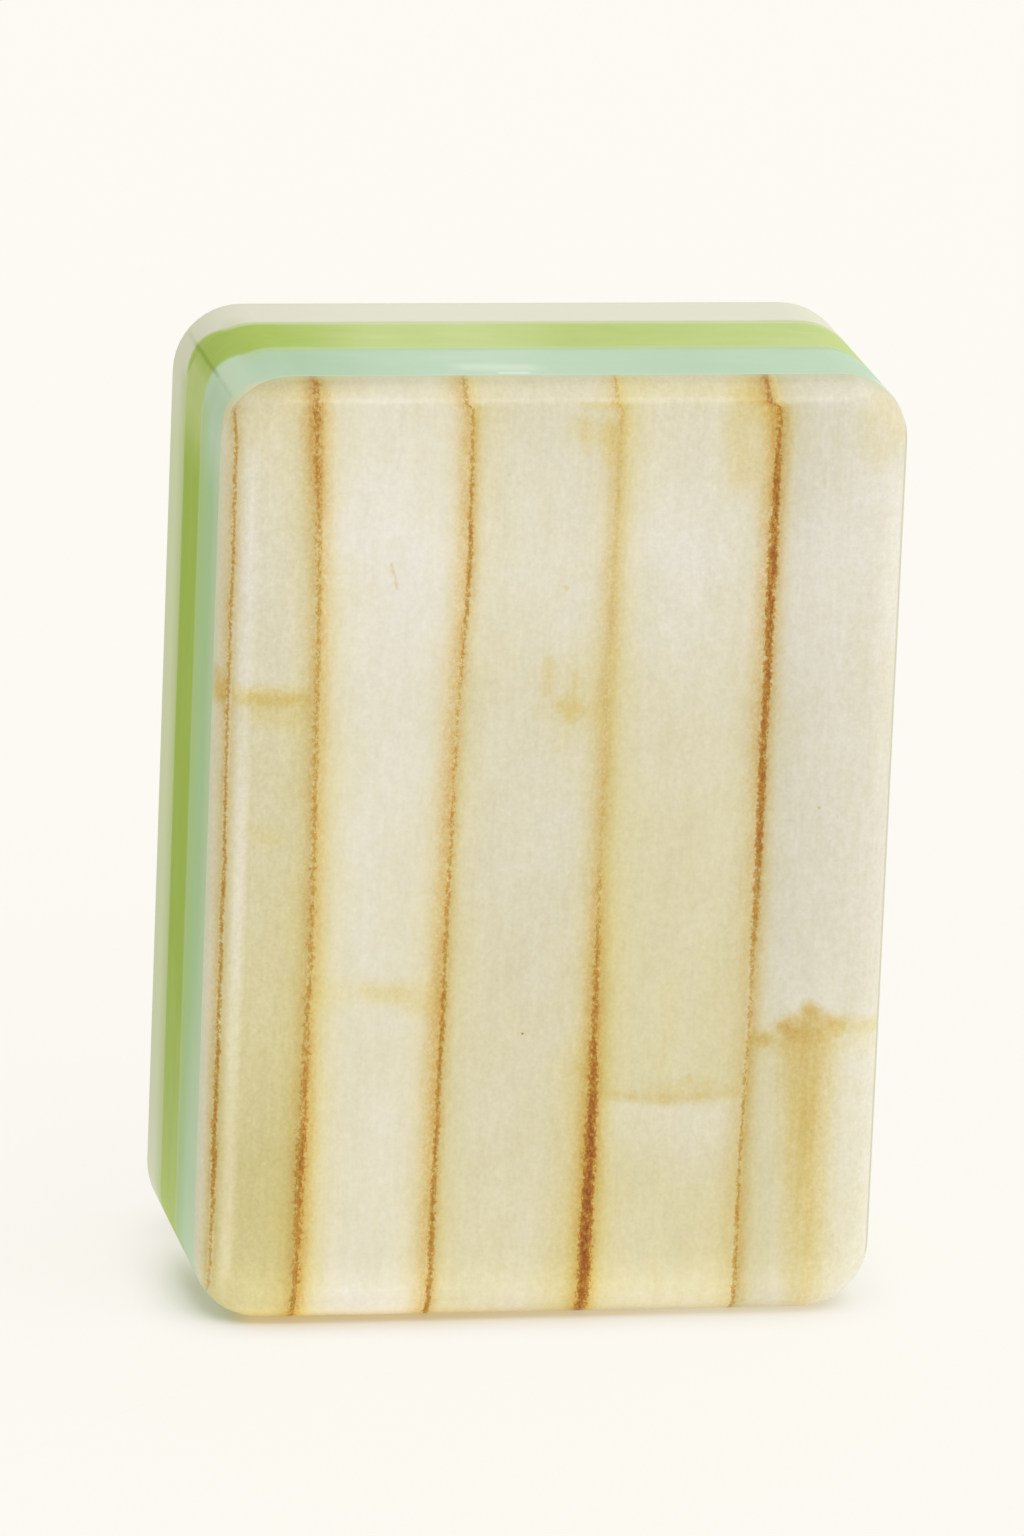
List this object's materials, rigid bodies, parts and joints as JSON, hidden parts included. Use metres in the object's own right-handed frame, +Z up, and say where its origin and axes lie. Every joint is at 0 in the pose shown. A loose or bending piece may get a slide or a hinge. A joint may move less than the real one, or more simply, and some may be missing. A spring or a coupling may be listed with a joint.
{
  "type": "mahjong tile",
  "caption": "Laminated mahjong tile: engraved off-white playing slab, lime and aqua resin layers and a thin back plate of bamboo-look slats with stained glue lines.",
  "frame": {"origin": "middle of the block in X and Y, on the surface that the foot end stands on", "axes": "+Z up along the slats, +Y out of the engraved playing face, +X to the right seen from the back"},
  "size_m": [0.022, 0.0126, 0.0309],
  "materials": {
    "face_resin": "polished translucent resin",
    "lime_resin": "polished translucent resin",
    "aqua_resin": "polished translucent resin",
    "slat_beige": "polished bamboo",
    "slat_white": "polished bamboo",
    "slat_cream": "polished bamboo",
    "slat_green": "polished bamboo",
    "slat_lilac": "polished bamboo",
    "glue_amber": "polished stained resin",
    "glue_brown": "polished stained resin",
    "paint_green": "enamel paint",
    "paint_blue": "enamel paint",
    "paint_red": "enamel paint"
  },
  "bodies": {
    "root": {"face_slab": "face_resin", "lime_layer": "lime_resin", "aqua_layer": "aqua_resin", "edge_slat": "slat_beige", "back_slat_1": "slat_beige", "back_slat_2": "slat_white", "back_slat_3": "slat_cream", "back_slat_4": "slat_green", "back_slat_5": "slat_lilac", "edge_glue_line": "glue_brown", "glue_line_1": "glue_amber", "glue_line_2": "glue_amber", "glue_line_3": "glue_brown", "glue_line_4": "glue_brown", "ring_outer_paint": "paint_green", "petals_outer_paint": "paint_blue", "beads_paint": "paint_red", "ring_inner_paint": "paint_green", "petals_inner_paint": "paint_red", "eye_ring_paint": "paint_blue", "eye_paint": "paint_red"}
  },
  "joints": []
}
